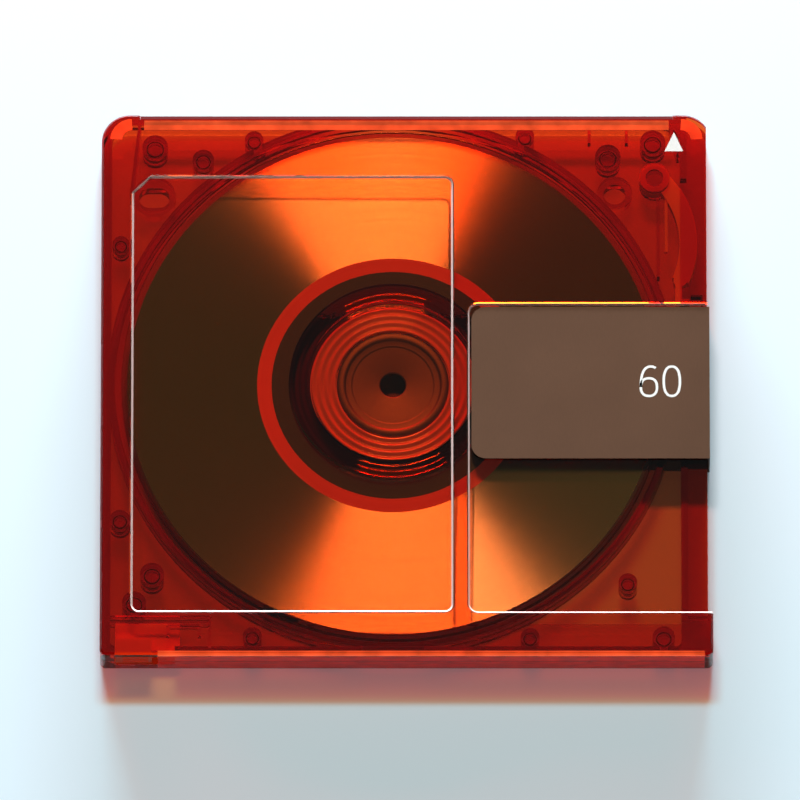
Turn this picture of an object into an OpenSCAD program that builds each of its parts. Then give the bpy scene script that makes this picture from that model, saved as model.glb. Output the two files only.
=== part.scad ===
// Recordable disc cartridge: two translucent shells, a sliding metal shutter
// with its latch, a write-protect slider and the disc. It lies label side up,
// +Y is the way it goes into a drive, and the origin is the middle of its back.

/* [Disc] */
// Diameter of the disc
disc_d = 64; // [60:0.5:68]
// Thickness of the disc
disc_t = 1.2; // [1.1:0.05:1.3]
// Diameter of its centre hole
disc_hole_d = 11; // [10:0.1:12]
// Length of that hole's narrow part, under the clamp plate's dish
hole_land = 0.65; // [0.5:0.05:0.7]
// How much wider the hole is above that part
hole_relief = 0.25; // [0.2:0.05:0.35]
// Outer diameter of the hub ring
hub_d = 19.2; // [18:0.1:21]
// Height of the hub ring over the disc
hub_h = 0.35; // [0.2:0.05:0.45]
// Inner diameter of the metal film
film_in_d = 24.6; // [23:0.2:27]
// Distance of the film's edge from the disc's rim
film_edge = 0.7; // [0.5:0.05:1.2]
// Thickness of the film, drawn thicker than the real one
film_t = 0.03; // [0.02:0.01:0.05]
// Thickness of the lacquer over the film
coat_t = 0.03; // [0.02:0.01:0.05]
// Width of the lacquer beyond the film's edges
coat_edge = 0.3; // [0.1:0.05:0.4]
// Diameter of the clamp plate
plate_d = 13.2; // [12:0.1:15]
// Diameter of its hole
plate_hole_d = 3; // [2:0.1:4]
// Thickness of its sheet
plate_t = 0.2; // [0.15:0.05:0.3]
// Depth of its dish
dish_depth = 0.2; // [0.15:0.05:0.3]
// Width of the dish's sloping side
dish_side = 0.4; // [0.3:0.05:0.6]
// Slack of the plate in the hub
plate_gap = 0.12; // [0.05:0.01:0.2]

/* [Case] */
// Thickness
case_t = 5; // [4.7:0.1:5.6]
// Height of the seam between the shells
seam_z = 2.6; // [2.4:0.05:2.8]
// Gap that shows along the seam
seam_gap = 0.04; // [0.02:0.01:0.08]
// Play between the disc's rim and its well
well_gap = 0.8; // [0.6:0.05:1]
// Play between the disc and the rings that it lies on
lie_gap = 0.05; // [0.03:0.01:0.1]
// Height of those rings over the floor
seat_h = 0.3; // [0.2:0.05:0.4]
// Least wall to the left of the well
left_skin = 1.6; // [1.3:0.1:2.5]
// Band to the right of the well, with the shutter's groove and the latch
right_band = 4.8; // [4.4:0.1:6]
// Least wall ahead of the well
front_skin = 0.6; // [0.4:0.1:1.5]
// Least wall behind the well
rear_skin = 1.8; // [1.4:0.1:3]
// Wall of the lower shell under the disc
floor_t = 0.95; // [0.85:0.05:1.05]
// Wall of the upper shell over the disc
roof_t = 0.9; // [0.75:0.05:1]
// Outer wall of both shells
wall = 1.2; // [1:0.1:1.4]
// Free-standing wall round the well
well_wall = 0.8; // [0.6:0.05:1]
// Radius of the front corners
front_r = 3.4; // [2.5:0.1:4]
// Radius of the rear corners
rear_r = 0.7; // [0.5:0.1:1.2]
// Bevel along the outer edges
edge_bevel = 0.25; // [0.15:0.05:0.35]
// Bevel along the middle of the front edge
nose_bevel = 0.6; // [0.4:0.1:0.9]
// Distance of that bevel's ends from the sides
nose_inset = 4.5; // [4:0.5:8]
// Thickness of the ribs inside
rib_t = 0.35; // [0.25:0.05:0.5]

/* [Label recess] */
// Depth of the recess for a label
label_depth = 0.2; // [0.1:0.05:0.3]
// How far its walls lean outwards
label_flare = 0.14; // [0.02:0.02:0.18]
// Distance of the recess from the left side
label_left = 3.6; // [3:0.1:5]
// Distance of the recess from the rear
label_rear = 5.3; // [4:0.1:6]
// Distance of the recess from the front
label_front = 7.8; // [6:0.1:20]
// Land between it and the shutter's recess
label_land = 1.75; // [1:0.05:3]
// Radius of its corners
label_r = 1; // [0.6:0.1:1.6]
// Cut across its front left corner
label_cut = 2.1; // [1.2:0.1:3]

/* [Openings] */
// Diameter of the spindle opening
spindle_d = 17.4; // [16:0.1:19]
// Width of the ring round the spindle opening
seat_ring_w = 1.2; // [0.8:0.1:1.6]
// Gap between the hub ring and the upper shell's ring round it
hub_clear = 0.4; // [0.3:0.05:0.8]
// Width of that ring
roof_ring_w = 2.2; // [1.2:0.1:2.6]
// Length of the head windows along the shutter's way
window_l = 16.8; // [14:0.2:18]
// Distance from the disc's axis to the inner end of the windows
window_in = 11.4; // [10.8:0.1:13]
// Distance of their outer end inside the disc's rim
window_edge = 0.2; // [0.1:0.1:1]
// Radius of the windows' corners
window_r = 0.8; // [0.5:0.1:1.2]

/* [Shutter] */
// Thickness of the shutter's sheet
sheet_t = 0.22; // [0.15:0.01:0.25]
// How far it covers the spindle opening's front and rear
leaf_cover = 0.85; // [0.6:0.05:1.2]
// How far its middle lies behind the disc's axis
leaf_shift = 0.45; // [0.2:0.05:0.6]
// How far the top leaf covers the window's inner end
top_cover = 2.15; // [1:0.05:3]
// How far the back leaf passes the spindle opening
back_cover = 4.3; // [2.5:0.1:6]
// Radius of the leaves' corners
leaf_r = 1.7; // [1:0.1:2.2]
// How far it stops short of its own length when open
travel_short = 0.1; // [0:0.1:2]
// Gap between the sheet and the shells
leaf_gap = 0.08; // [0.05:0.01:0.1]
// Play round the leaves in their recesses
leaf_play = 0.4; // [0.2:0.05:0.5]
// How far the top leaf lies under the label face
top_sink = 0.1; // [0.05:0.01:0.12]
// Step from the shutter's side face to the rear lip
side_step = 0.6; // [0.5:0.05:0.7]
// Depth of the guide groove in the side
groove_depth = 2.3; // [2.1:0.05:2.5]
// Height of the guide groove
groove_h = 1.5; // [1.4:0.05:1.6]
// Wall between the groove and the inside
groove_wall = 0.8; // [0.5:0.05:1]
// Length of one guide tab
guide_l = 4; // [2:0.2:6]
// Reach of a guide tab into the groove
guide_reach = 0.9; // [0.5:0.05:1.2]
// Width of the strip that holds the back leaf down
retainer_w = 4.1; // [3.4:0.1:5]
// Thickness of that strip
retainer_t = 0.2; // [0.15:0.01:0.2]
// Gap between that strip and the leaf, and round the strip
retainer_gap = 0.05; // [0.03:0.01:0.08]

/* [Latch] */
// Distance of the pivot from the side
pivot_side = 6.7; // [6.4:0.05:7]
// Distance of the pivot from the front
pivot_front = 7.7; // [7.3:0.05:8.1]
// Diameter of the pivot pin
pivot_d = 2; // [1.6:0.1:2.2]
// Running clearance of the lever on the pin
pivot_play = 0.04; // [0.02:0.01:0.08]
// Diameter of the lever's hub
lever_hub_d = 3.6; // [3.2:0.1:4]
// Radius of the arm's curve
arm_r = 11.9; // [10.5:0.1:14]
// Width of the arm
arm_w = 2.1; // [1.7:0.05:2.3]
// Thickness of the lever
lever_t = 1.3; // [1:0.05:1.3]
// Length of its spring finger from the pivot
finger_l = 9; // [6:0.5:10]
// Gap between the finger and its rib
finger_gap = 0.6; // [0.55:0.05:0.8]
// Thickness of the finger
finger_t = 0.35; // [0.3:0.01:0.4]
// Distance of the finger from the pivot, towards the side
finger_side = 1.2; // [1.1:0.05:1.3]
// Distance from the pivot back to the near end of the finger's rib
finger_rib_start = 2.2; // [2:0.1:2.6]
// How far that rib passes the finger's end
finger_rib_past = 3; // [2:0.5:3.5]
// Gap between the hook and the shutter's catch at rest, sideways
hook_gap = 0.12; // [0.1:0.01:0.2]
// Gap between them along the shutter's way
hook_drop = 0.3; // [0.25:0.05:0.4]
// Length of the hook
hook_l = 0.7; // [0.5:0.05:0.8]
// Reach of the catch inwards from its tongue
catch_reach = 1.2; // [0.9:0.05:1.4]
// Distance of the catch ahead of the shutter's recess
catch_ahead = 1.3; // [1:0.1:2]

/* [Write-protect slider] */
// Side of the square sensing hole
sense_w = 2; // [1.6:0.1:2.3]
// How far the slider covers it on each side
sense_cover = 0.3; // [0.2:0.05:0.4]
// Distance of the slider's slot from the left side
slot_left = 1.7; // [1.5:0.1:2.2]
// Length of the slider's grip
grip_l = 4.3; // [3.6:0.1:5]
// Depth of the grip's grooves
grip_groove = 0.25; // [0.1:0.05:0.4]
// Length of the slider
slider_l = 7.6; // [6:0.1:8.5]
// Width of the slider
slider_w = 3.3; // [2.9:0.1:3.6]
// Thickness of the slider
slider_t = 1.4; // [1:0.1:1.6]
// Play round the slider
slider_play = 0.1; // [0.06:0.01:0.15]
// Land on the grip ahead of its grooves
grip_land = 0.9; // [0.4:0.1:1.4]
// Land on the grip past its grooves
grip_end = 0.4; // [0.2:0.1:0.8]
// How far the frame beside the slider's way stands in from its far end
frame_inset = 1.2; // [1:0.1:1.5]
// Length of that frame
frame_l = 3.7; // [3:0.1:4.2]
// Step of that frame behind the slider's rail
frame_step = 1.1; // [0.9:0.1:1.4]
// Gap between the slider's plate and the frames over it
frame_gap = 0.9; // [0.6:0.1:1.2]

/* [Locating holes] */
// Radius of the round locating hole
round_hole_r = 1.35; // [1.2:0.05:1.5]
// Distance of the round hole from the right side
round_hole_side = 11.4; // [11:0.1:12]
// Distance of the round hole from the front
round_hole_front = 9.1; // [8.8:0.1:9.4]
// Radius of the ends of the long locating hole
long_hole_r = 1.25; // [1.1:0.05:1.35]
// Length between the ends of the long hole
long_hole_l = 1.2; // [0.8:0.1:1.4]
// Distance of the long hole from the left side
long_hole_side = 6.2; // [5.8:0.1:6.6]
// Distance of the long hole from the front
long_hole_front = 9.6; // [9.2:0.1:10]
// Depth of the locating holes
locate_depth = 2; // [1.6:0.1:2.1]
// Wall of the bosses round them
boss_wall = 0.7; // [0.5:0.05:0.8]

/* [Hidden] */
$fn = 96;
// Overlap of joined solids, and a length that is surely past the case
eps = 0.01;
past = 2 * case_t;

// The case follows from the disc, its well and the walls round the well
well_r = disc_d / 2 + well_gap;
case_w = left_skin + 2 * well_r + right_band;
case_l = rear_skin + 2 * well_r + front_skin;
left_x = -case_w / 2;
right_x = case_w / 2;
rear_y = -case_l / 2;
front_y = case_l / 2;
side_x = right_x - side_step;
roof_z = case_t - roof_t;
disc_x = left_x + left_skin + well_r;
disc_y = rear_y + rear_skin + well_r;

// Heights of the disc's layers
disc_z = floor_t + seat_h + lie_gap;
disc_top = disc_z + disc_t;
film_top = disc_top + film_t;
coat_top = film_top + coat_t;

// Room over the disc: under the rings on the roof, and at the window
roof_ring_gap = 0.5;
rim_ring_gap = 0.8;
rim_ring_w = 0.9;
seat_rim_w = 1.3;

// Windows for the heads, closed by the shutter
window_x0 = disc_x + window_in;
window_x1 = disc_x + disc_d / 2 - window_edge;
window_y = disc_y - leaf_shift;

// The shutter's sheet, from its web at the side
leaf_l = spindle_d + 2 * leaf_cover;
leaf_front = window_y + leaf_l / 2;
leaf_rear = window_y - leaf_l / 2;
shutter_travel = leaf_l - travel_short;
web_out = side_x + leaf_gap + sheet_t;
web_in = web_out - sheet_t;
top_leaf_z = case_t - top_sink;
top_recess_z = top_leaf_z - sheet_t - leaf_gap;
back_leaf_z = retainer_t + retainer_gap;
back_recess_z = back_leaf_z + sheet_t + leaf_gap;
top_left = window_x0 - top_cover;
back_left = disc_x - spindle_d / 2 - back_cover;
recess_front = leaf_front + leaf_play;
recess_rear = leaf_rear - shutter_travel - leaf_play;
recess_r = 1.2;
recess_flare = 0.12;

// The groove in the side, where the drive's pin and the guide tabs run
groove_x = side_x - groove_depth;
groove_z0 = (case_t - groove_h) / 2;
groove_z1 = groove_z0 + groove_h;
guide_inset = 1.5;

// The shutter's tongue runs in the groove and carries the catch
tongue_in = 0.76;
tongue_play = 0.2;
tongue_lap = 0.6;
tongue_x = web_in - tongue_in;
tongue_z0 = groove_z0 + tongue_play;
tongue_z1 = groove_z1 - tongue_play;
tongue_root = leaf_front - tongue_lap;
catch_y = recess_front + catch_ahead;
catch_tip = tongue_x - catch_reach;

// The latch: a curved arm from the pivot to a prong, which the hook ends
pivot_x = right_x - pivot_side;
pivot_y = front_y - pivot_front;
arm_root = [0.9, -0.1];
arm_end = [-1.2, 2.1];
arm_end_step = 0.25;
prong_in = 0.6;
prong_out = 0.2;
arm_from = [pivot_x, pivot_y] + arm_root;
arm_to = [catch_tip, catch_y] + arm_end;
arm_chord = arm_from - arm_to;
arm_mid = (arm_from + arm_to) / 2;
arm_sag = sqrt(arm_r * arm_r - norm(arm_chord) * norm(arm_chord) / 4);
arm_centre = arm_mid + arm_sag * [-arm_chord[1], arm_chord[0]] / norm(arm_chord);
arm_a0 = atan2(arm_to[1] - arm_centre[1], arm_to[0] - arm_centre[0]);
arm_a1 = atan2(arm_from[1] - arm_centre[1], arm_from[0] - arm_centre[0]);
lever_z = (case_t - lever_t) / 2;
hook_x = catch_tip - hook_gap;
hook_y1 = catch_y - hook_drop;
hook_y0 = hook_y1 - hook_l;
prong_x0 = arm_to[0] - prong_in;
prong_x1 = arm_to[0] + prong_out;
finger_x = pivot_x + finger_side;
finger_rib_x = finger_x - finger_gap - rib_t / 2;

// The slider in the rear left corner and its slot in the rear face
slider_travel = sense_w + 2 * sense_cover;
slot_l = grip_l + slider_travel + 2 * slider_play;
slot_x0 = left_x + slot_left;
slot_z0 = 1.5;
grip_sink = 0.15;
grip_root = 0.9;
bay_end = 0.9;
frame_clear = 0.3;
slider_x0 = slot_x0 + slider_play;
slider_y0 = rear_y + wall + slider_play;
slider_y1 = slider_y0 + slider_w;
slider_z0 = floor_t + lie_gap;
grip_y0 = rear_y + grip_sink;
grip_y1 = slider_y0 + grip_root;
rail_y = slider_y1 + slider_play + rib_t / 2;
bay_x1 = slider_x0 + slider_l + slider_travel + bay_end;
frame_x1 = bay_x1 - frame_inset;
frame_x0 = frame_x1 - frame_l;
frame_y1 = rail_y - frame_step;
frame_y0 = grip_y1 + frame_clear;

// Locating holes near the front corners
round_hole = [right_x - round_hole_side, front_y - round_hole_front];
long_hole = [left_x + long_hole_side, front_y - long_hole_front];

// Bosses that pin and weld the shells: side, end, inset from side, inset from end, radius
bosses = [
  [-1, 1, 6.3, 3.9, 1.5], [-1, 1, 12, 5.5, 1.25], [-1, 1, 18, 3, 1.1],
  [1, 1, 22, 2.5, 1.1], [1, 1, 12.2, 5.1, 1.5], [1, 1, 6.9, 3.3, 1.5],
  [-1, 1, 2.3, 16.2, 1], [-1, -1, 2.3, 17.1, 1.2], [-1, -1, 6.1, 10.3, 1.4],
  [-1, -1, 4, 6.7, 1.4], [-1, -1, 17.9, 2.5, 1.1], [1, -1, 21.5, 2.4, 1.1],
  [1, -1, 5.8, 2.4, 1.3], [1, -1, 10, 9.3, 1.1]
];
// A pin's share of its boss, its slack, how far it stays off the floor, and the weld ring round its hole
pin_share = 0.6;
pin_slack = 0.05;
pin_floor = 0.6;
weld_ring_w = 0.12;

// Ribs in the front corners, as insets from the side and the front
left_rib = [[4.5, 0.9], [3.5, 10]];
right_rib = [[4.9, 0.9], [3.9, 4.7]];
front_rib_sides = [10, 14.4];
front_rib_ends = [1, 3.4];

module shell_red() { color("#c8140a") children(); }

// A block from z0 to z1 with rounded corners, which grows by g0 at its bottom and g1 at its top
module block(x0, x1, y0, y1, rf, rr, z0, z1, g0 = 0, g1 = 0) {
  ym = (y0 + y1) / 2;
  rear = [[x0 + rr, y0 + rr, rr], [x1 - rr, y0 + rr, rr]];
  front = [[x0 + rf, y1 - rf, rf], [x1 - rf, y1 - rf, rf]];
  for (c = concat(rear, front))
    translate([c[0], c[1], z0]) cylinder(h = z1 - z0, r1 = c[2] + g0, r2 = c[2] + g1);
  translate([0, y1 - rf, 0]) rotate([90, 0, 0]) linear_extrude(y1 - rf - y0 - rr)
    polygon([[x0 - g0, z0], [x1 + g0, z0], [x1 + g1, z1], [x0 - g1, z1]]);
  translate([x0 + rf, 0, 0]) rotate([90, 0, 90]) linear_extrude(x1 - x0 - 2 * rf)
    polygon([[ym, z0], [y1 + g0, z0], [y1 + g1, z1], [ym, z1]]);
  translate([x0 + rr, 0, 0]) rotate([90, 0, 90]) linear_extrude(x1 - x0 - 2 * rr)
    polygon([[y0 - g0, z0], [ym, z0], [ym, z1], [y0 - g1, z1]]);
}

// A box between two corners
module span(a, b) { translate(a) cube(b - a); }

// A wall of the ribs' thickness from point p to point q
module rib(p, q, z0, z1) {
  d = q - p;
  translate([p[0], p[1], z0]) rotate([0, 0, atan2(d[1], d[0])])
    translate([0, -rib_t / 2, 0]) cube([norm(d), rib_t, z1 - z0]);
}

// A round post or hole
module post(at, r, z0, z1) { translate([at[0], at[1], z0]) cylinder(h = z1 - z0, r = r); }

// A round post or hole on the disc's axis
module on_axis(r, z0, z1) { translate([disc_x, disc_y, z0]) cylinder(h = z1 - z0, r = r, $fn = 192); }

// A flat ring on the disc's axis
module ring(r_in, r_out, z0, z1) {
  difference() {
    on_axis(r_out, z0, z1);
    on_axis(r_in, z0 - eps, z1 + eps);
  }
}

function boss_at(b) = [b[0] > 0 ? right_x - b[2] : left_x + b[2], b[1] > 0 ? front_y - b[3] : rear_y + b[3]];
function from_left(p) = [left_x + p[0], front_y - p[1]];
function from_right(p) = [right_x - p[0], front_y - p[1]];

// What both shells leave empty inside between z0 and z1: the well and the corners round it
module hollow(z0, z1) {
  difference() {
    block(left_x + wall, groove_x - groove_wall, rear_y + wall, front_y - wall,
      front_r - wall, rear_r, z0, z1);
    on_axis(well_r + well_wall, z0 - eps, z1 + eps);
  }
  on_axis(well_r, z0, z1);
}

// The guide groove in the right side, open at the front, and its break for the latch
module groove() {
  span([groove_x, recess_rear, groove_z0], [right_x + past, front_y + past, groove_z1]);
  span([groove_x - groove_wall - eps, recess_front, groove_z0], [groove_x + eps, pivot_y, groove_z1]);
}

// The side cut back from the rear lip to the front, where the shutter's web runs
module side_cut() {
  span([side_x, recess_rear, -past], [right_x + past, front_y + past, past]);
}

// Slot in the rear face for the slider's grip
module grip_slot() {
  span([slot_x0, rear_y - past, slot_z0], [slot_x0 + slot_l, rear_y + wall + 2 * slider_play, roof_z]);
}

// The windows' outline from z0 to z1
module window(z0, z1) {
  block(window_x0, window_x1, window_y - window_l / 2, window_y + window_l / 2, window_r, window_r, z0, z1);
}

// The slanted ribs that stand in both shells
module corner_ribs(z0, z1) {
  rib(from_left(left_rib[0]), from_left(left_rib[1]), z0, z1);
  rib(from_right(right_rib[0]), from_right(right_rib[1]), z0, z1);
}

module lower_shell() {
  shell_red() difference() {
    union() {
      difference() {
        union() {
          block(left_x, right_x, rear_y, front_y, front_r, rear_r, edge_bevel, seam_z - seam_gap);
          block(left_x, right_x, rear_y, front_y, front_r, rear_r, 0, edge_bevel, -edge_bevel, 0);
        }
        hollow(floor_t, past);
      }
      // Only a thin weld ring on each boss meets the boss above
      for (b = bosses) {
        post(boss_at(b), b[4], floor_t - eps, seam_z - seam_gap);
        post(boss_at(b), b[4] * pin_share + weld_ring_w, floor_t - eps, seam_z);
      }
      post(round_hole, round_hole_r + boss_wall, floor_t - eps, seam_z - seam_gap);
      post(long_hole, long_hole_r + long_hole_l / 2 + boss_wall, floor_t - eps, seam_z - seam_gap);
      corner_ribs(floor_t - eps, seam_z - seam_gap);
      rib([finger_rib_x, pivot_y - finger_rib_start],
        [finger_rib_x, pivot_y - finger_l - finger_rib_past], floor_t - eps, seam_z - seam_gap);
      rib([left_x + wall, rail_y], [bay_x1, rail_y], floor_t - eps, seam_z - seam_gap);
    }
    // The well stays clear, but for the rings that the disc lies on
    difference() {
      on_axis(well_r, floor_t, past);
      ring(spindle_d / 2, spindle_d / 2 + seat_ring_w, floor_t - eps, floor_t + seat_h);
      ring(well_r - seat_rim_w, well_r + eps, floor_t - eps, floor_t + seat_h);
    }
    on_axis(spindle_d / 2, -past, past);
    window(-past, past);
    // Recess for the back leaf, and a shallower one for the strip that holds it
    span([back_left - leaf_play, recess_rear, -past], [right_x + past, recess_front, back_recess_z]);
    span([back_left - retainer_w / 2, recess_rear, -past],
      [back_left + retainer_w / 2, recess_front, retainer_t]);
    side_cut();
    groove();
    grip_slot();
    span([slider_x0 + sense_cover, slider_y0 + sense_cover, -past],
      [slider_x0 + sense_cover + sense_w, slider_y0 + sense_cover + sense_w, floor_t + eps]);
    for (b = bosses) post(boss_at(b), b[4] * pin_share, floor_t + pin_floor / 2, past);
    // Locating holes: a round one, and a long one that leaves play across
    post(round_hole, round_hole_r, -past, locate_depth);
    for (s = [-1, 1]) post(long_hole + [s * long_hole_l / 2, 0], long_hole_r, -past, locate_depth);
    span([long_hole[0] - long_hole_l / 2, long_hole[1] - long_hole_r, -past],
      [long_hole[0] + long_hole_l / 2, long_hole[1] + long_hole_r, locate_depth]);
  }
  // Post and pin that carry the latch
  shell_red() union() {
    post([pivot_x, pivot_y], lever_hub_d / 2, floor_t - eps, lever_z - lie_gap);
    post([pivot_x, pivot_y], pivot_d / 2, floor_t, roof_z - pin_floor);
  }
}

module upper_shell() {
  shell_red() difference() {
    union() {
      difference() {
        union() {
          block(left_x, right_x, rear_y, front_y, front_r, rear_r, seam_z, case_t - edge_bevel);
          block(left_x, right_x, rear_y, front_y, front_r, rear_r, case_t - edge_bevel, case_t,
            0, -edge_bevel);
        }
        hollow(-past, roof_z);
      }
      // Rings over the hub and over the rim that keep the disc from the roof
      ring(hub_d / 2 + hub_clear, hub_d / 2 + hub_clear + roof_ring_w, coat_top + roof_ring_gap,
        roof_z + eps);
      ring(well_r - rim_ring_w, well_r + eps, coat_top + rim_ring_gap, roof_z + eps);
      for (b = bosses) {
        post(boss_at(b), b[4], seam_z, roof_z + eps);
        post(boss_at(b), b[4] * pin_share - pin_slack, floor_t + pin_floor, roof_z);
      }
      corner_ribs(seam_z, roof_z + eps);
      post([pivot_x, pivot_y], lever_hub_d / 2, lever_z + lever_t + lie_gap, roof_z + eps);
      for (s = front_rib_sides)
        rib(from_right([s, front_rib_ends[0]]), from_right([s, front_rib_ends[1]]), seam_z, roof_z + eps);
      // Frames over the slider and beside it
      for (e = [
        [[left_x + wall, rail_y], [bay_x1, rail_y]], [[bay_x1, rail_y], [bay_x1, rear_y + wall]],
        [[frame_x0, frame_y1], [frame_x1, frame_y1]], [[frame_x0, frame_y1], [frame_x0, frame_y0]],
        [[frame_x1, frame_y1], [frame_x1, frame_y0]]
      ])
        rib(e[0], e[1], slider_z0 + slider_t + frame_gap, roof_z + eps);
    }
    // Recess for a label, with one corner cut across
    difference() {
      block(left_x + label_left, top_left - leaf_play - label_land, rear_y + label_rear,
        front_y - label_front, label_r, label_r, case_t - label_depth, case_t + eps, 0, label_flare);
      translate([left_x + label_left, front_y - label_front, 0]) rotate([0, 0, 45])
        translate([-2 * label_cut, -label_cut / sqrt(2), 0]) cube([4 * label_cut, 3 * label_cut, past]);
    }
    // Recess for the top leaf
    block(top_left - leaf_play, right_x + past, recess_rear, recess_front, recess_r, recess_r,
      top_recess_z, case_t + eps, 0, recess_flare);
    window(coat_top + roof_ring_gap - eps, past);
    side_cut();
    groove();
    grip_slot();
    // Bevel along the middle of the front edge
    translate([left_x + nose_inset, front_y, case_t]) rotate([45, 0, 0])
      translate([0, -nose_bevel / sqrt(2), -case_t]) cube([case_w - 2 * nose_inset, case_t, past]);
    // Socket for the pivot pin
    post([pivot_x, pivot_y], pivot_d / 2 + pivot_play, 0, roof_z - pin_floor / 2);
  }
}

// One leaf of the shutter: a flat sheet whose far corners are rounded
module leaf(x0, z0) {
  block(x0, web_out, leaf_rear, leaf_front, leaf_r, leaf_r, z0, z0 + sheet_t);
  span([web_out - 2 * leaf_r, leaf_rear, z0], [web_out, leaf_front, z0 + sheet_t]);
}

module shutter() {
  mid_z = case_t / 2;
  color("#75604f") union() {
    leaf(top_left, top_leaf_z - sheet_t);
    leaf(back_left, back_leaf_z);
    span([web_in, leaf_rear, back_leaf_z], [web_out, leaf_front, top_leaf_z]);
    // Tabs folded in from the web, which run in the groove
    for (y = [leaf_rear + guide_inset, leaf_front - guide_inset - guide_l])
      span([web_in - guide_reach, y, mid_z - sheet_t / 2], [web_in + eps, y + guide_l, mid_z + sheet_t / 2]);
    // Tongue ahead of the web, set in from it, with the catch that the latch hooks
    span([tongue_x, tongue_root, tongue_z0], [web_in + eps, tongue_root + sheet_t, tongue_z1]);
    span([tongue_x, tongue_root, tongue_z0], [tongue_x + sheet_t, catch_y + sheet_t, tongue_z1]);
    span([catch_tip, catch_y, tongue_z0], [tongue_x + eps, catch_y + sheet_t, tongue_z1]);
  }
}

module shutter_retainer() {
  color("#8d8378")
    span([back_left - retainer_w / 2 + retainer_gap, recess_rear + retainer_gap, 0],
      [back_left + retainer_w / 2 - retainer_gap, recess_front - retainer_gap, retainer_t]);
}

module shutter_lock_lever() {
  color("#e2401c") translate([0, 0, lever_z]) difference() {
    union() {
      post([pivot_x, pivot_y], lever_hub_d / 2, 0, lever_t);
      translate([arm_centre[0], arm_centre[1], 0]) rotate([0, 0, arm_a0])
        rotate_extrude(angle = arm_a1 - arm_a0, $fn = 192)
          translate([arm_r - arm_w / 2, 0]) square([arm_w, lever_t]);
      post(arm_to, arm_w / 2 - arm_end_step, 0, lever_t);
      // Prong below the arm and the hook on its outer side
      span([prong_x0, hook_y0, 0], [prong_x1, arm_to[1], lever_t]);
      span([prong_x0, hook_y0, 0], [hook_x, hook_y1, lever_t]);
      // Spring finger that bears on the rib when the lever is pushed in
      span([finger_x, pivot_y - finger_l, lever_t / 4], [finger_x + finger_t, pivot_y, lever_t * 3 / 4]);
    }
    post([pivot_x, pivot_y], pivot_d / 2 + pivot_play, -eps, lever_t + eps);
  }
}

module protect_tab() {
  grip_z0 = slot_z0 + slider_play;
  grip_z1 = roof_z - slider_play;
  groove_step = (grip_z1 - grip_z0) / 4;
  groove_share = 0.2;
  color("#e83a1a") difference() {
    union() {
      // Plate inside that covers the sensing hole
      span([slider_x0, slider_y0, slider_z0], [slider_x0 + slider_l, slider_y1, slider_z0 + slider_t]);
      // Grip in the slot
      span([slider_x0, grip_y0, grip_z0], [slider_x0 + grip_l, grip_y1, grip_z1]);
    }
    for (i = [1:3])
      span([slider_x0 + grip_land, grip_y0 - eps, grip_z0 + (i - groove_share) * groove_step],
        [slider_x0 + grip_l - grip_end, grip_y0 + grip_groove, grip_z0 + (i + groove_share) * groove_step]);
  }
}

module disc_substrate() {
  color("#d9c9b8") difference() {
    union() {
      on_axis(disc_d / 2, disc_z, disc_top);
      ring(plate_d / 2 + plate_gap, hub_d / 2, disc_top - eps, disc_top + hub_h);
    }
    on_axis(disc_hole_d / 2, 0, past);
    // Wider above, where the clamp plate's dish goes down into it
    on_axis(disc_hole_d / 2 + hole_relief, disc_z + hole_land, past);
  }
}

module recording_layer() {
  color("#b8bcc4") ring(film_in_d / 2, disc_d / 2 - film_edge, disc_top, film_top);
}

module protective_coat() {
  color("#c9b07a") difference() {
    ring(film_in_d / 2 - coat_edge, disc_d / 2 - film_edge + coat_edge, disc_top, coat_top);
    ring(film_in_d / 2, disc_d / 2 - film_edge, disc_top - eps, film_top);
  }
}

// A steel dish whose flange lies on the disc round the centre hole
module clamp_plate() {
  dish_r = disc_hole_d / 2 - plate_gap;
  dish_top = dish_r - dish_side / 4;
  color("#9a9a98") translate([disc_x, disc_y, disc_top]) rotate_extrude($fn = 192) polygon([
    [plate_hole_d / 2, -dish_depth], [dish_r - dish_side, -dish_depth], [dish_r, 0], [plate_d / 2, 0],
    [plate_d / 2, plate_t], [dish_top, plate_t], [dish_top - dish_side, plate_t - dish_depth],
    [plate_hole_d / 2, plate_t - dish_depth]
  ]);
}

lower_shell();
upper_shell();
shutter();
shutter_retainer();
shutter_lock_lever();
protect_tab();
disc_substrate();
recording_layer();
protective_coat();
clamp_plate();
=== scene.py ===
import math
import bpy
import numpy as np
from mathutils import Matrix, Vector


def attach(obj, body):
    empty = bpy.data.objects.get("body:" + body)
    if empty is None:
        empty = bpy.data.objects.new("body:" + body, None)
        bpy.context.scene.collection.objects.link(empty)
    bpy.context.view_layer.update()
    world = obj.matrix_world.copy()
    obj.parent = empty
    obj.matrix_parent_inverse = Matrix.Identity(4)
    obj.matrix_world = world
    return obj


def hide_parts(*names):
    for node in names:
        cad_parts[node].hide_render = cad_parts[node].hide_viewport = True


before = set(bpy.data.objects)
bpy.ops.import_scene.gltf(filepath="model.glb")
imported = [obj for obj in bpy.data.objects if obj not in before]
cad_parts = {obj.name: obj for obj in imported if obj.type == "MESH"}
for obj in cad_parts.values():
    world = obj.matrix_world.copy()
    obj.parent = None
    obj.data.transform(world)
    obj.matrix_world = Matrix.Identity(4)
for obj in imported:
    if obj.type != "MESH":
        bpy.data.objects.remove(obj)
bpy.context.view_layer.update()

scene = bpy.context.scene
scene.view_settings.view_transform = "Standard"
scene.cycles.transparent_max_bounces = 32  # lamps shine through many faces of clear plastic


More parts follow.
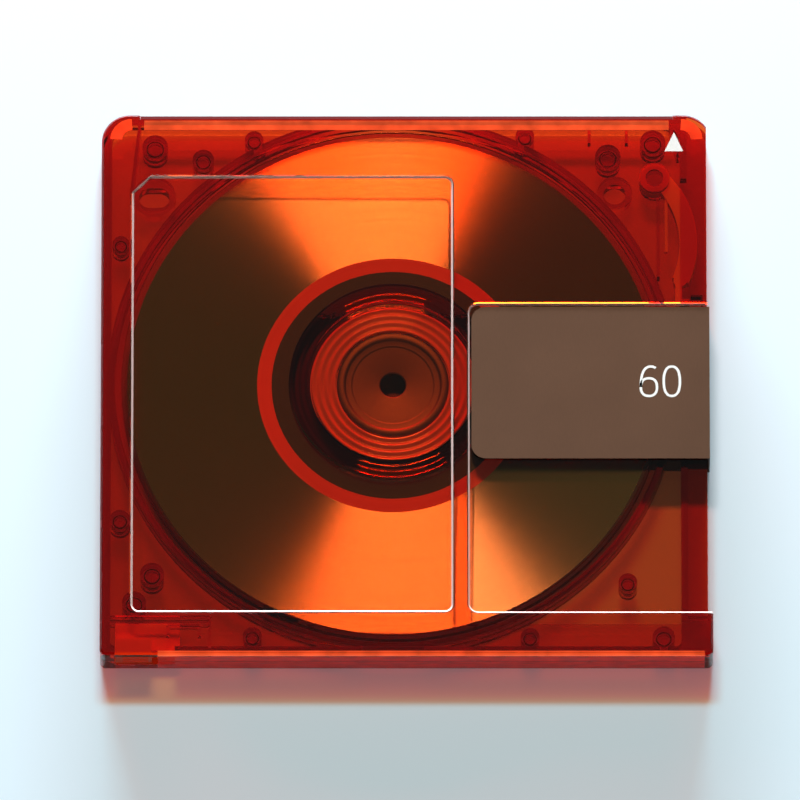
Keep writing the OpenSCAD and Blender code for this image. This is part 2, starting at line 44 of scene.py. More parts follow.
# ---- Camera: a long lens far above the near edge, square to the cartridge.
# It looks down at 69 degrees onto the middle of the cartridge. Not a piece.
CAMERA_ELEVATION = math.radians(69.2)
CAMERA_DISTANCE = 3.0
LOOK_AT = Vector((-0.00076, -0.00115, 0.0025))
SENSOR_WIDTH = 36.0
FOCAL_PIXELS = 25459.0
FRAME_PIXELS = 800.0
photo_camera = bpy.data.cameras.new("photo_camera")
photo_camera.sensor_width = SENSOR_WIDTH
photo_camera.lens = SENSOR_WIDTH * FOCAL_PIXELS / FRAME_PIXELS
photo_camera.clip_end = 20.0
camera_object = bpy.data.objects.new("photo_camera", photo_camera)
scene.collection.objects.link(camera_object)
to_camera = Vector((0, -math.cos(CAMERA_ELEVATION), math.sin(CAMERA_ELEVATION)))
camera_object.location = LOOK_AT + CAMERA_DISTANCE * to_camera
camera_object.rotation_euler = (-to_camera).to_track_quat("-Z", "Y").to_euler()
scene.camera = camera_object


# ---- Lower and upper shell: clear red polycarbonate, injection moulded and
# welded at the rim. The halves are two nodes; their bosses, ribs and label
# recess come with the solids, and the moulding gives a faint swim in the gloss.
def linear(hex_colour):
    """An sRGB hex colour as linear red, green, blue and alpha."""
    s = np.array([int(hex_colour[i:i + 2], 16) for i in (1, 3, 5)]) / 255
    rgb = np.where(s <= 0.04045, s / 12.92, ((s + 0.055) / 1.055) ** 2.4)
    return (*rgb.tolist(), 1.0)


def add_node(material, kind, settings=None, links=None):
    """Adds a node to a material. Settings go to its properties or inputs, and links are input: output."""
    node = material.node_tree.nodes.new(kind)
    for key, value in (settings or {}).items():
        if isinstance(key, str) and hasattr(node, key):
            setattr(node, key, value)
        else:
            node.inputs[key].default_value = value
    for key, source in (links or {}).items():
        material.node_tree.links.new(source, node.inputs[key])
    return node


def new_material(name):
    """An empty node material and its output node."""
    material = bpy.data.materials.new(name)
    material.use_nodes = True
    material.node_tree.nodes.clear()
    return material, add_node(material, "ShaderNodeOutputMaterial")


def finish_material(material, output, shader, volume=None):
    """Joins a shader, and a volume where there is one, to a material's output."""
    material.node_tree.links.new(shader, output.inputs["Surface"])
    if volume is not None:
        material.node_tree.links.new(volume, output.inputs["Volume"])
    return material


def noise_on_object(material, per_mm, detail=2.0, stretch=(1, 1, 1)):
    """Noise on Object coordinates, with about per_mm features in each millimetre."""
    place = add_node(material, "ShaderNodeTexCoord")
    turn = add_node(material, "ShaderNodeMapping", {"Scale": stretch}, {"Vector": place.outputs["Object"]})
    return add_node(material, "ShaderNodeTexNoise", {"Scale": per_mm * 1000, "Detail": detail},
                    {"Vector": turn.outputs["Vector"]})


def spread(material, value, low, high):
    """Maps a noise's middle range to low..high."""
    return add_node(material, "ShaderNodeMapRange",
                    {"From Min": 0.3, "From Max": 0.7, "To Min": low, "To Max": high}, {"Value": value})


def clear_plastic(name, roughness, index, tint, density, swim_mm, swim_height, passed=(0.95, 0.95, 0.95, 1)):
    """A moulded clear plastic: glossy faces that swim a little, and a tint that deepens with thickness.
    Lamps reach what is inside: rays from lamps, and rays that something inside has reflected, pass the faces
    straight, with the share passed at each face, and the tint dims them."""
    material, output = new_material(name)
    swim = noise_on_object(material, 1 / swim_mm)
    gloss = spread(material, swim.outputs["Fac"], roughness * 0.6, roughness * 1.5)
    bump = add_node(material, "ShaderNodeBump", {"Strength": 1.0, "Distance": swim_height},
                    {"Height": swim.outputs["Fac"]})
    body = add_node(material, "ShaderNodeBsdfPrincipled",
                    {"Base Color": (1, 1, 1, 1), "IOR": index, "Transmission Weight": 1.0},
                    {"Roughness": gloss.outputs["Result"], "Normal": bump.outputs["Normal"]})
    passing = add_node(material, "ShaderNodeBsdfTransparent", {"Color": passed})
    ray = add_node(material, "ShaderNodeLightPath")
    leaving = add_node(material, "ShaderNodeMixShader", None,
                       {0: ray.outputs["Is Reflection Ray"], 1: body.outputs[0], 2: passing.outputs[0]})
    both = add_node(material, "ShaderNodeMixShader", None,
                    {0: ray.outputs["Is Shadow Ray"], 1: leaving.outputs[0], 2: passing.outputs[0]})
    tinted = add_node(material, "ShaderNodeVolumeAbsorption", {"Color": tint, "Density": density})
    return finish_material(material, output, both.outputs[0], tinted.outputs[0])


def dress(node, *materials):
    """Puts materials on a CAD node's slots."""
    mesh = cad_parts[node].data
    mesh.materials.clear()
    for material in materials:
        mesh.materials.append(material)


red_polycarbonate = clear_plastic("polycarbonate_red_moulded", 0.03, 1.58, (0.955, 0.49, 0.0, 1), 2500.0,
                                  3.0, 2e-6, (0.95, 0.93, 0.93, 1))
dress("lower_shell", red_polycarbonate)
dress("upper_shell", red_polycarbonate)


# ---- Disc: a clear polycarbonate substrate 64 mm across with a spun metal
# film under lacquer. The film is a mirror band, a frosted ring and the grooved
# data area, whose fine circular grooves fan the light out along the radius.
DISC_CENTRE = (-0.0016, 0.0006)
# Heights and radii of the disc's faces, in mm
DISC_BOTTOM, DISC_TOP, DISC_R = 1.3, 2.5, 32.0
HUB_R, HUB_STEP_R, RING_R_IN, RING_R_OUT = 5.5, 5.75, 6.72, 9.6
FILM_BOTTOM, FILM_TOP, FILM_R_IN, FILM_R_OUT = 2.504, 2.53, 12.3, 31.3
MIRROR_R_OUT, FROST_R_OUT = 14.3, 16.0
COAT_TOP, COAT_R_IN, COAT_R_OUT = 2.56, 12.0, 31.6
# Space between the film's edges and the lacquer that wraps them; over its top it is a tenth of that
COAT_SPACE = 0.05
# The substrate's reddish tint is painted shade: it darkens the disc's clear parts between the hub and the film.
clear_polycarbonate = clear_plastic("polycarbonate_clear_moulded", 0.02, 1.58, (0.75, 0.50, 0.50, 1), 500.0,
                                    4.0, 1e-6)


def new_mesh(name, points, faces, smooth=40):
    """A mesh from an array of points and rows of corners, smooth below an angle in degrees."""
    mesh = bpy.data.meshes.new(name)
    mesh.from_pydata(points.tolist(), [], faces.tolist())
    mesh.polygons.foreach_set("use_smooth", np.ones(len(mesh.polygons), bool))
    mesh.set_sharp_from_angle(angle=math.radians(smooth))
    mesh.update()
    return mesh


def lathe(name, profile, bands=None, turns=384):
    """A closed ring turned round the disc's axis: each profile point (r, z) in mm sweeps a full circle,
    x = cx + r cos a, y = cy + r sin a, and the last point joins the first. bands gives each side's slot."""
    rz = np.array(profile, float) / 1000
    count = len(rz)
    angle = np.arange(turns) * 2 * math.pi / turns
    points = np.empty((turns, count, 3))
    points[:, :, 0] = DISC_CENTRE[0] + np.cos(angle)[:, None] * rz[:, 0]
    points[:, :, 1] = DISC_CENTRE[1] + np.sin(angle)[:, None] * rz[:, 0]
    points[:, :, 2] = rz[:, 1]
    i, j = np.meshgrid(np.arange(turns), np.arange(count), indexing="ij")
    i2, j2 = (i + 1) % turns, (j + 1) % count
    quads = np.stack([i * count + j, i * count + j2, i2 * count + j2, i2 * count + j], -1).reshape(-1, 4)
    mesh = new_mesh(name, points.reshape(-1, 3), quads)
    if bands is not None:
        mesh.polygons.foreach_set("material_index", np.tile(np.array(bands, np.int32), turns))
    return bpy.data.objects.new(name, mesh)


def grooved_metal(name, colour, roughness, anisotropy):
    """A metal film on the disc, whose grooves circle the axis: the tangent points along the radius,
    so that gloss spreads along it. Faint rings come from noise over the radius."""
    material, output = new_material(name)
    place = add_node(material, "ShaderNodeTexCoord")
    from_axis = add_node(material, "ShaderNodeVectorMath", {"operation": "SUBTRACT", 1: (*DISC_CENTRE, 0)},
                         {0: place.outputs["Object"]})
    flat = add_node(material, "ShaderNodeVectorMath", {"operation": "MULTIPLY", 1: (1, 1, 0)},
                    {0: from_axis.outputs[0]})
    radial = add_node(material, "ShaderNodeVectorMath", {"operation": "NORMALIZE"}, {0: flat.outputs[0]})
    turned = add_node(material, "ShaderNodeVectorTransform", {"vector_type": "VECTOR", "convert_from": "OBJECT",
                                                              "convert_to": "WORLD"}, {"Vector": radial.outputs[0]})
    radius = add_node(material, "ShaderNodeVectorMath", {"operation": "LENGTH"}, {0: flat.outputs[0]})
    rings = add_node(material, "ShaderNodeTexNoise", {"noise_dimensions": "1D", "Scale": 2500.0, "Detail": 3.0},
                     {"W": radius.outputs["Value"]})
    gloss = spread(material, rings.outputs["Fac"], roughness * 0.93, roughness * 1.07)
    metal = add_node(material, "ShaderNodeBsdfPrincipled",
                     {"Base Color": linear(colour), "Metallic": 1.0, "Anisotropic": anisotropy},
                     {"Roughness": gloss.outputs["Result"], "Tangent": turned.outputs[0]})
    return finish_material(material, output, metal.outputs[0])


def hub_ridges(r_in, r_out, z_mean, height, pitch, count=80):
    """Points (r, z) in mm from r_in to r_out: a cosine wave of that height and pitch about z_mean."""
    r = np.linspace(r_in, r_out, count)
    return np.column_stack([r, z_mean + height / 2 * np.cos((r - r_in) * 2 * math.pi / pitch)]).tolist()


# The hub's ridged ring stands above the disc, and fainter ridges run between it and the film
RING_RIDGES = (6.86, 9.46, 2.77, 0.15, 0.87)
FAINT_RIDGES = (9.75, 11.85, 2.475, 0.05, 0.7)
hub_profile = ([(HUB_R, 1.34), (HUB_R, 1.95), (HUB_STEP_R, 1.95), (HUB_STEP_R, DISC_TOP), (RING_R_IN, DISC_TOP),
                (6.74, 2.8)] + hub_ridges(*RING_RIDGES) + [(9.56, 2.82), (RING_R_OUT, 2.78), (9.64, DISC_TOP)])
rest_of_disc = (hub_ridges(*FAINT_RIDGES) +
                [(12.25, DISC_TOP), (31.9, DISC_TOP), (DISC_R, 2.42), (DISC_R, 1.38), (31.92, DISC_BOTTOM),
                 (9.9, DISC_BOTTOM), (9.8, 1.38), (9.3, 1.38), (9.2, DISC_BOTTOM), (5.54, DISC_BOTTOM)])
substrate = lathe("disc_substrate_turned", hub_profile + rest_of_disc,
                  [1] * len(hub_profile) + [0] * len(rest_of_disc))
hub_body, hub_output = new_material("polycarbonate_hub_satin")
hub_grain = noise_on_object(hub_body, 3.0, 2.0)
hub_gloss = spread(hub_body, hub_grain.outputs["Fac"], 0.10, 0.2)
hub_shader = add_node(hub_body, "ShaderNodeBsdfPrincipled",
                      {"Base Color": linear("#ff9484"), "IOR": 1.58, "Transmission Weight": 0.35},
                      {"Roughness": hub_gloss.outputs["Result"]})
finish_material(hub_body, hub_output, hub_shader.outputs[0])
substrate.data.materials.append(clear_polycarbonate)
substrate.data.materials.append(hub_body)
scene.collection.objects.link(substrate)
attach(substrate, "disc")
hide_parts("disc_substrate")

film_mirror = grooved_metal("metal_film_mirror_band", "#b8b4ac", 0.12, 0.0)
film_frosted = grooved_metal("metal_film_frosted_ring", "#c85c4c", 0.62, 0.0)
film_grooved = grooved_metal("metal_film_grooved", "#fcf8f0", 0.22, 1.0)
film_radii = (FILM_R_IN, MIRROR_R_OUT, FROST_R_OUT, FILM_R_OUT)
film = lathe("metal_film", [(FILM_R_IN, FILM_BOTTOM)] + [(r, FILM_TOP) for r in film_radii] +
             [(r, FILM_BOTTOM) for r in film_radii[:0:-1]], [0, 0, 1, 2, 2, 2, 1, 0])
for material in (film_mirror, film_frosted, film_grooved):
    film.data.materials.append(material)
scene.collection.objects.link(film)
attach(film, "disc")
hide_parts("recording_layer")

lacquer_clear = clear_plastic("lacquer_clear_spun", 0.02, 1.5, (0.9, 0.85, 0.8, 1), 40.0, 5.0, 5e-7)
lacquer = lathe("lacquer_coat", [
    (COAT_R_IN, FILM_BOTTOM), (COAT_R_IN, COAT_TOP), (COAT_R_OUT, COAT_TOP), (COAT_R_OUT, FILM_BOTTOM),
    (FILM_R_OUT + COAT_SPACE, FILM_BOTTOM), (FILM_R_OUT + COAT_SPACE, FILM_TOP + COAT_SPACE / 10),
    (FILM_R_IN - COAT_SPACE, FILM_TOP + COAT_SPACE / 10), (FILM_R_IN - COAT_SPACE, FILM_BOTTOM)])
lacquer.data.materials.append(lacquer_clear)
scene.collection.objects.link(lacquer)
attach(lacquer, "disc")
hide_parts("protective_coat")


# ---- Clamp plate: a stamped disc of magnetic stainless steel that lies on the
# hub round the centre hole. Rolling and stamping leave a satin face.
def satin_metal(name, colour, roughness, grain_mm, grain_height, stretch=(1, 1, 1)):
    """A satin metal: fine grain in the gloss and the height, and a slow drift in the colour."""
    material, output = new_material(name)
    grain = noise_on_object(material, 1 / grain_mm, 3.0, stretch)
    drift = noise_on_object(material, 1 / 9.0)
    gloss = spread(material, grain.outputs["Fac"], roughness * 0.88, roughness * 1.12)
    shade = spread(material, drift.outputs["Fac"], 0.94, 1.04)
    tone = add_node(material, "ShaderNodeVectorMath", {"operation": "SCALE", 0: linear(colour)[:3]},
                    {"Scale": shade.outputs["Result"]})
    bump = add_node(material, "ShaderNodeBump", {"Strength": 1.0, "Distance": grain_height},
                    {"Height": grain.outputs["Fac"]})
    metal = add_node(material, "ShaderNodeBsdfPrincipled", {"Metallic": 1.0},
                     {"Base Color": tone.outputs[0], "Roughness": gloss.outputs["Result"],
                      "Normal": bump.outputs["Normal"]})
    return finish_material(material, output, metal.outputs[0])


plate_steel = satin_metal("stainless_steel_stamped", "#6a5c54", 0.52, 0.15, 1e-6)
plate = lathe("clamp_plate_stamped", [(1.5, 2.34), (1.5, 2.44), (1.56, 2.48), (1.66, 2.5), (4.72, 2.5), (4.8, 2.51),
                                      (4.88, 2.55), (4.96, 2.56), (5.5, 2.56), (5.58, 2.58), (5.68, 2.65),
                                      (5.8, 2.69), (5.95, 2.7), (6.2, 2.68), (6.42, 2.63), (6.56, 2.56), (6.6, 2.505),
                                      (5.46, 2.505), (5.36, 2.49), (5.04, 2.31), (4.94, 2.3), (1.54, 2.3)])
plate.data.materials.append(plate_steel)
scene.collection.objects.link(plate)
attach(plate, "disc")
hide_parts("clamp_plate")


# ---- Shutter and its retainer strip: bent sheet aluminium with a satin grain, whose brown colour is a painted
# reflection of brown surroundings, and a stainless strip that holds the back leaf to the shell.
# The brown base colour is a painted reflection of brown surroundings; the grain and gloss are the metal's own.
shutter_brown_reflection = satin_metal("aluminium_brown_painted_reflection", "#503a2e", 0.5, 0.12, 1e-6, (1, 0.15, 1))
dress("shutter", shutter_brown_reflection)
dress("shutter_retainer", satin_metal("stainless_steel_strip", "#c0bcb8", 0.4, 0.12, 1e-6))


# ---- Latch and write-protect slider: orange polyacetal, injection moulded,
# that lets a little light into its skin.
def moulded_plastic(name, colour, roughness, grain_mm):
    """A milky moulded plastic with a fine texture from the mould and light that enters its skin. Some of the
    lamps' light comes through it."""
    material, output = new_material(name)
    grain = noise_on_object(material, 1 / grain_mm, 3.0)
    gloss = spread(material, grain.outputs["Fac"], roughness * 0.85, roughness * 1.15)
    bump = add_node(material, "ShaderNodeBump", {"Strength": 1.0, "Distance": 1e-6},
                    {"Height": grain.outputs["Fac"]})
    shade = spread(material, grain.outputs["Fac"], 0.95, 1.05)
    tone = add_node(material, "ShaderNodeVectorMath", {"operation": "SCALE", 0: linear(colour)[:3]},
                    {"Scale": shade.outputs["Result"]})
    body = add_node(material, "ShaderNodeBsdfPrincipled", {"Subsurface Weight": 0.2, "Subsurface Scale": 0.0005},
                    {"Base Color": tone.outputs[0], "Roughness": gloss.outputs["Result"],
                     "Normal": bump.outputs["Normal"]})
    passing = add_node(material, "ShaderNodeBsdfTransparent", {"Color": (0.75, 0.4, 0.35, 1)})
    ray = add_node(material, "ShaderNodeLightPath")
    both = add_node(material, "ShaderNodeMixShader", None,
                    {0: ray.outputs["Is Shadow Ray"], 1: body.outputs[0], 2: passing.outputs[0]})
    return finish_material(material, output, both.outputs[0])


dress("shutter_lock_lever", moulded_plastic("polyacetal_orange_latch", "#d8805a", 0.4, 0.1))
dress("protect_tab", moulded_plastic("polyacetal_orange_slider", "#e04820", 0.4, 0.1))


# ---- Printed marks: white ink, screen printed. A filled triangle shows the
# end that goes in first, and two plain digits stand on the shutter.
def flat_print(name, outline, z_low, z_high):
    """A thin closed slab: the outline's points (x, y) in mm at two heights, joined round the rim."""
    outline = np.array(outline, float)
    count = len(outline)
    points = np.concatenate([np.column_stack([outline, np.full(count, z)]) for z in (z_low, z_high)]) / 1000
    i = np.arange(count)
    k = (i + 1) % count
    mesh = bpy.data.meshes.new(name)
    rim = np.column_stack([i, k, k + count, i + count]).tolist()
    mesh.from_pydata(points.tolist(), [], rim + [i[::-1].tolist(), (i + count).tolist()])
    mesh.update()
    return bpy.data.objects.new(name, mesh)


def stroke(name, path, section, closed):
    """A band along a path of points (x, y) in mm. Each point of the section is (out, z): the path moved along its
    right-hand normal by out, at height z. A closed path joins its ends, and an open one gets caps."""
    path, section = np.array(path, float), np.array(section, float)
    count, sides = len(path), len(section)
    along = np.roll(path, -1, 0) - np.roll(path, 1, 0)
    if not closed:
        along[0], along[-1] = path[1] - path[0], path[-1] - path[-2]
    along /= np.linalg.norm(along, axis=1)[:, None]
    across = np.column_stack([along[:, 1], -along[:, 0]])
    points = np.empty((count, sides, 3))
    points[:, :, :2] = path[:, None] + across[:, None] * section[None, :, :1]
    points[:, :, 2] = section[:, 1]
    i, j = np.meshgrid(np.arange(count if closed else count - 1), np.arange(sides), indexing="ij")
    i2, j2 = (i + 1) % count, (j + 1) % sides
    quads = np.stack([i * sides + j, i2 * sides + j, i2 * sides + j2, i * sides + j2], -1).reshape(-1, 4).tolist()
    if not closed:
        quads += [list(range(sides)), list(range((count - 1) * sides, count * sides))[::-1]]
    mesh = bpy.data.meshes.new(name)
    mesh.from_pydata((points.reshape(-1, 3) / 1000).tolist(), [], quads)
    mesh.update()
    return bpy.data.objects.new(name, mesh)


def flat_section(width, z_low, z_high):
    """The section of a flat band: four points, anticlockwise seen along the path."""
    return [(-width / 2, z_low), (width / 2, z_low), (width / 2, z_high), (-width / 2, z_high)]


ink_material, ink_output = new_material("ink_white_screen_printed")
ink_noise = noise_on_object(ink_material, 6.0, 2.0)
ink_gloss = spread(ink_material, ink_noise.outputs["Fac"], 0.45, 0.6)
ink_body = add_node(ink_material, "ShaderNodeBsdfPrincipled", {"Base Color": linear("#f2f0ee")},
                    {"Roughness": ink_gloss.outputs["Result"]})
finish_material(ink_material, ink_output, ink_body.outputs[0])
CASE_TOP = 5.0
ARROW_CORNERS = [(30.5, 29.35), (32.7, 29.35), (31.62, 31.75)]
arrow = flat_print("insert_arrow", ARROW_CORNERS, CASE_TOP - 0.02, CASE_TOP - 0.002)
arrow.data.materials.append(ink_material)
scene.collection.objects.link(arrow)
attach(arrow, "case")

DIGIT_HEIGHT, DIGIT_WIDTH, DIGIT_STROKE = 4.0, 2.2, 0.3
SIX_X, ZERO_X, DIGIT_Y = 28.55, 31.25, 0.3
BOWL_SHARE = 0.6
SHUTTER_TOP = 4.9


def oval(centre, width, height, start=0.0, stop=2 * math.pi, count=72, power=2.4):
    """Points of a superellipse from one angle to another: |x/a|^p + |y/b|^p = 1."""
    angle = np.linspace(start, stop, count, endpoint=abs(stop - start) < 6.28)
    x, y = np.cos(angle), np.sin(angle)
    reach = (abs(x) ** power + abs(y) ** power) ** (-1 / power)
    return np.column_stack([centre[0] + width / 2 * reach * x, centre[1] + height / 2 * reach * y])


ink_band = flat_section(DIGIT_STROKE, SHUTTER_TOP + 0.001, SHUTTER_TOP + 0.01)
inner_w, inner_h = DIGIT_WIDTH - DIGIT_STROKE, DIGIT_HEIGHT - DIGIT_STROKE
bowl_h = inner_h * BOWL_SHARE
bowl_y = DIGIT_Y - inner_h / 2 + bowl_h / 2
# The six's stem is part of a wider oval about the same height as its bowl's middle
stem = oval((SIX_X + inner_w * 0.12, bowl_y), inner_w * 1.24, (DIGIT_Y + inner_h / 2 - bowl_y) * 2,
            math.radians(62), math.radians(180), 40)
digits = [stroke("digit_six_bowl", oval((SIX_X, bowl_y), inner_w, bowl_h), ink_band, True),
          stroke("digit_six_stem", stem, ink_band, False),
          stroke("digit_zero", oval((ZERO_X, DIGIT_Y), inner_w, inner_h), ink_band, True)]
for digit in digits:
    digit.data.materials.append(ink_material)
    scene.collection.objects.link(digit)
    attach(digit, "shutter")


# ---- Lips of the two recesses: the mould leaves a fine frosted bevel round the label recess and along the
# shutter's recess. Its pale colour is a painted highlight, so that it reads as a pale line.
bevel_highlight_material, bevel_output = new_material("bevel_frosted_painted_highlight")
bevel_grain = noise_on_object(bevel_highlight_material, 4.0, 3.0)
bevel_gloss = spread(bevel_highlight_material, bevel_grain.outputs["Fac"], 0.35, 0.6)
# Painted highlight: the pale base colour stands for light caught on the bevel's edge.
bevel_body = add_node(bevel_highlight_material, "ShaderNodeBsdfPrincipled",
                      {"Base Color": linear("#e6c8c4"), "IOR": 1.58, "Transmission Weight": 0.2},
                      {"Roughness": bevel_gloss.outputs["Result"]})
finish_material(bevel_highlight_material, bevel_output, bevel_body.outputs[0])


def rounded_outline(x0, x1, y0, y1, radius, cut=0.0, count=10):
    """A rectangle's outline, anticlockwise, with round corners and the far left corner cut across."""
    corners = [(x1 - radius, y1 - radius, 0), (x0 + radius, y1 - radius, 90), (x0 + radius, y0 + radius, 180),
               (x1 - radius, y0 + radius, 270)]
    rows = []
    for cx, cy, start in corners:
        if cut and start == 90:
            rows.append(np.array([(x0 + cut, y1), (x0 + cut * 0.5, y1 - cut * 0.5), (x0, y1 - cut)]))
            continue
        angle = np.radians(np.linspace(start, start + 90, count))
        rows.append(np.column_stack([cx + radius * np.cos(angle), cy + radius * np.sin(angle)]))
    return np.concatenate(rows)


# Left, right, near and far edge, corner radius and corner cut of the label recess; then the leaf's recess
LABEL_RECESS = (-32.4, 5.5, -28.7, 26.2, 1.0, 2.1)
LEAF_RECESS_X, LEAF_RECESS_NEAR, LEAF_RECESS_FAR, LEAF_RECESS_R = 7.25, -28.8, 10.1, 1.2
LIP_END_FAR, LIP_END_NEAR = 35.3, 35.9
PAST_SIDE = 40.0
label_lip = stroke("label_recess_lip", rounded_outline(*LABEL_RECESS),
                   [(-0.24, 4.803), (-0.004, 4.803), (-0.004, 4.998), (-0.03, 4.996)], True)
label_lip.data.materials.append(bevel_highlight_material)
scene.collection.objects.link(label_lip)
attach(label_lip, "case")
leaf_path = rounded_outline(LEAF_RECESS_X, PAST_SIDE, LEAF_RECESS_NEAR, LEAF_RECESS_FAR, LEAF_RECESS_R)
leaf_path = np.concatenate([[(LIP_END_FAR, LEAF_RECESS_FAR)], leaf_path[leaf_path[:, 0] < PAST_SIDE / 2],
                            [(LIP_END_NEAR, LEAF_RECESS_NEAR)]])
leaf_lip = stroke("shutter_recess_lip", leaf_path,
                  [(-0.2, 4.79), (-0.004, 4.75), (-0.004, 4.998), (-0.03, 4.996)], False)
leaf_lip.data.materials.append(bevel_highlight_material)
scene.collection.objects.link(leaf_lip)
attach(leaf_lip, "case")


# ---- Nose: a dark, finely matt strip with no gloss at all along the bevel of the front edge. Its dark colour is
# painted shade, so that the bevel shows as a dull dark band and not as a mirror.
FRONT_Y, NOSE_HALF_WIDTH = 34.0, 31.4
nose_shade_band = stroke("nose_painted_shade_band", [(NOSE_HALF_WIDTH, FRONT_Y), (-NOSE_HALF_WIDTH, FRONT_Y)],
                   [(-0.59, 4.985), (-0.01, 4.405), (0.0, 4.415), (-0.58, 4.997)], False)
nose_shade_matt, nose_output = new_material("nose_painted_shade_matt")
nose_grain = noise_on_object(nose_shade_matt, 12.0, 3.0)
nose_gloss = spread(nose_shade_matt, nose_grain.outputs["Fac"], 0.6, 0.8)
# Painted shade: a near black red with its gloss switched off, where the bevel would mirror the lamps.
nose_body = add_node(nose_shade_matt, "ShaderNodeBsdfPrincipled",
                     {"Base Color": linear("#411919"), "Specular IOR Level": 0.0},
                     {"Roughness": nose_gloss.outputs["Result"]})
finish_material(nose_shade_matt, nose_output, nose_body.outputs[0])
nose_shade_band.data.materials.append(nose_shade_matt)
scene.collection.objects.link(nose_shade_band)
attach(nose_shade_band, "case")


# ---- Edges of the shell: clear plastic carries light to its rim, so the rear
# wall, the front edge and the front corners glow a mottled red. Thin strips inside
# the walls give off that light here, and no real piece stands behind them.
def glow_strip(name, path, width, z_low, z_high, colour, glow):
    """A thin strip inside a wall, along a path. Its brightness changes along it, and lamps shine past it. glow is
    the strength of the light that it gives off."""
    strip = stroke(name, path, flat_section(width, z_low, z_high), False)
    strip.visible_shadow = False
    material, output = new_material(name + "_painted_glow")
    mottle = noise_on_object(material, 0.5, 4.0, (1, 1, 2.5))
    shade = spread(material, mottle.outputs["Fac"], 0.6, 1.1)
    tone = add_node(material, "ShaderNodeVectorMath", {"operation": "SCALE", 0: linear(colour)[:3]},
                    {"Scale": shade.outputs["Result"]})
    # Painted glow: the strip's colour and its emission stand for light that the clear walls carry.
    body = add_node(material, "ShaderNodeBsdfPrincipled", {"Roughness": 0.5, "Emission Strength": glow},
                    {"Base Color": tone.outputs[0], "Emission Color": tone.outputs[0]})
    strip.data.materials.append(finish_material(material, output, body.outputs[0]))
    scene.collection.objects.link(strip)
    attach(strip, "case")


def along_x(y, x_low, x_high):
    """60 points on a straight line along X."""
    return [(x, y) for x in np.linspace(x_low, x_high, 60)]


REAR_SPAN, FRONT_SPAN = (-29.2, 35.0), (-31.0, 31.0)
REAR_SKIN_Y = -33.97
EDGE_HEIGHTS = (4.3, 4.32)
CORNER_CENTRE, CORNER_BEND_R = (32.4, 31.0), 1.9
glow_strip("rear_wall_lower_half", along_x(REAR_SKIN_Y, *REAR_SPAN), 0.02, 0.4, 2.5, "#ff2418", 0.05)
glow_strip("rear_wall_upper_half", along_x(REAR_SKIN_Y, *REAR_SPAN), 0.02, 2.65, 4.2, "#ff2418", 0.1)
glow_strip("rear_wall_bright_line", along_x(-33.65, *REAR_SPAN), 0.5, *EDGE_HEIGHTS, "#ff9478", 0.5)
glow_strip("front_wall_bright_line", along_x(32.8, *FRONT_SPAN), 1.2, *EDGE_HEIGHTS, "#ff8c70", 0.7)
bend = np.linspace(0.02, math.pi / 2 - 0.02, 24)
for name, side in (("front_corner_glow_left", -1), ("front_corner_glow_right", 1)):
    glow_strip(name, np.column_stack([side * (CORNER_CENTRE[0] + CORNER_BEND_R * np.cos(bend)),
                                      CORNER_CENTRE[1] + CORNER_BEND_R * np.sin(bend)]),
               1.4, *EDGE_HEIGHTS, "#ff7058", 0.55)


# ---- Floor: a pale glossy table top under the cartridge. It is scenery and
# lies a hair under the case, so that no faces coincide.
def backdrop_material():
    """Pale satin laminate of one colour, which the lamps light whiter towards the far side. What the camera sees of
    it, straight or in glass and metal, has a little light of its own, and keeps the cartridge's shadow."""
    material, output = new_material("floor_pale_laminate")
    body = add_node(material, "ShaderNodeBsdfPrincipled",
                    {"Base Color": linear("#dfeefa"), "Roughness": 0.35})
    ray = add_node(material, "ShaderNodeLightPath")
    seen = add_node(material, "ShaderNodeMath", {"operation": "MAXIMUM"},
                    {0: ray.outputs["Is Camera Ray"], 1: ray.outputs["Is Transmission Ray"]})
    level = add_node(material, "ShaderNodeMath", {"operation": "MULTIPLY", 1: 0.03}, {0: seen.outputs[0]})
    glow = add_node(material, "ShaderNodeEmission", {"Color": linear("#f4faff")}, {"Strength": level.outputs[0]})
    both = add_node(material, "ShaderNodeAddShader", None, {0: body.outputs[0], 1: glow.outputs[0]})
    return finish_material(material, output, both.outputs[0])


FLOOR_SIZE, FLOOR_DROP = 3.0, 3e-5
floor_corners = np.array([(-1, -1, 0), (1, -1, 0), (1, 1, 0), (-1, 1, 0)]) * FLOOR_SIZE / 2 - (0, 0, FLOOR_DROP)
floor = bpy.data.objects.new("floor", new_mesh("floor", floor_corners, np.array([[0, 1, 2, 3]])))
floor.data.materials.append(backdrop_material())
scene.collection.objects.link(floor)


# ---- Light: a panel high at the far side, which the disc's grooves fan out, a
# long strip low behind it, and a soft fill above the camera. The world is dim, with
# a grey veil in the top face's mirror direction and green to either side of it.
def area_lamp(name, azimuth, elevation, distance, width, height, watts, colour):
    """A rectangular lamp that faces the cartridge. Azimuth runs from +Y towards +X."""
    a, e = math.radians(azimuth), math.radians(elevation)
    lamp = bpy.data.lights.new(name, "AREA")
    lamp.shape = "RECTANGLE"
    lamp.size, lamp.size_y, lamp.energy = width, height, watts
    lamp.color = linear(colour)[:3]
    lamp_object = bpy.data.objects.new(name, lamp)
    at = Vector((math.sin(a) * math.cos(e), math.cos(a) * math.cos(e), math.sin(e)))
    lamp_object.location = at * distance
    lamp_object.rotation_euler = (-at).to_track_quat("-Z", "Y").to_euler()
    scene.collection.objects.link(lamp_object)


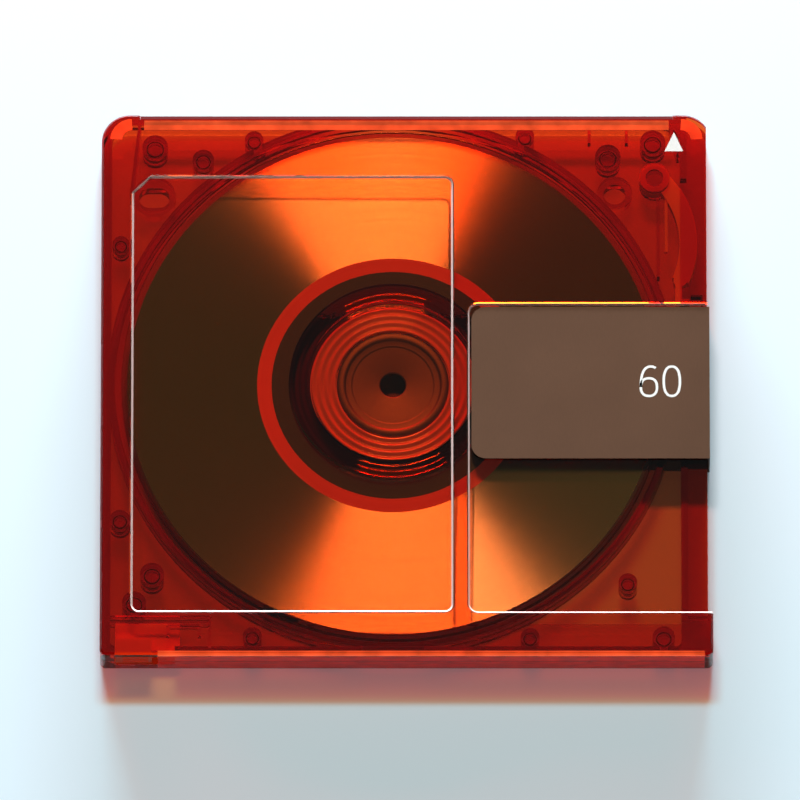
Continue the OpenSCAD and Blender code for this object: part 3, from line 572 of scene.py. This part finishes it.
area_lamp("far_panel", -2.7, 48.0, 1.20, 0.365, 0.10, 10.4, "#fffaf4")
area_lamp("far_strip", -3.0, 6.5, 0.80, 0.45, 0.06, 34.0, "#eef8ff")
area_lamp("fill_above_camera", 180.0, 55.0, 0.9, 0.5, 0.4, 0.8, "#dceaff")
studio = bpy.data.worlds.new("studio")
studio.use_nodes = True
studio.node_tree.nodes.clear()
MIRROR_DIRECTION = (0.0, 0.355, 0.935)
DIM_GREY, VEIL_GREY, WING_GREEN = (0.02, 0.022, 0.024, 1), (0.08, 0.10, 0.10, 1), (0.012, 0.16, 0.03, 1)
around = add_node(studio, "ShaderNodeTexCoord")
mirrored = add_node(studio, "ShaderNodeVectorMath", {"operation": "DOT_PRODUCT", 1: MIRROR_DIRECTION},
                    {0: around.outputs["Generated"]})
near = add_node(studio, "ShaderNodeMapRange", {"From Min": 0.9, "From Max": 1.0},
                {"Value": mirrored.outputs["Value"]})
parts = add_node(studio, "ShaderNodeSeparateXYZ", None, {0: around.outputs["Generated"]})
aside = add_node(studio, "ShaderNodeMath", {"operation": "ABSOLUTE"}, {0: parts.outputs[0]})
wing = add_node(studio, "ShaderNodeMapRange", {"From Min": 0.08, "From Max": 0.3}, {"Value": aside.outputs[0]})
high = add_node(studio, "ShaderNodeMapRange", {"From Min": 0.7, "From Max": 0.85}, {"Value": parts.outputs[2]})
green = add_node(studio, "ShaderNodeMath", {"operation": "MULTIPLY"},
                 {0: wing.outputs["Result"], 1: high.outputs["Result"]})
veil = add_node(studio, "ShaderNodeMix", {"data_type": "RGBA", 6: DIM_GREY, 7: VEIL_GREY},
                {0: near.outputs["Result"]})
sky_colour = add_node(studio, "ShaderNodeMix", {"data_type": "RGBA", 7: WING_GREEN},
                      {0: green.outputs[0], 6: veil.outputs[2]})
sky = add_node(studio, "ShaderNodeBackground", {"Strength": 1.0}, {"Color": sky_colour.outputs[2]})
add_node(studio, "ShaderNodeOutputWorld", None, {"Surface": sky.outputs[0]})
scene.world = studio
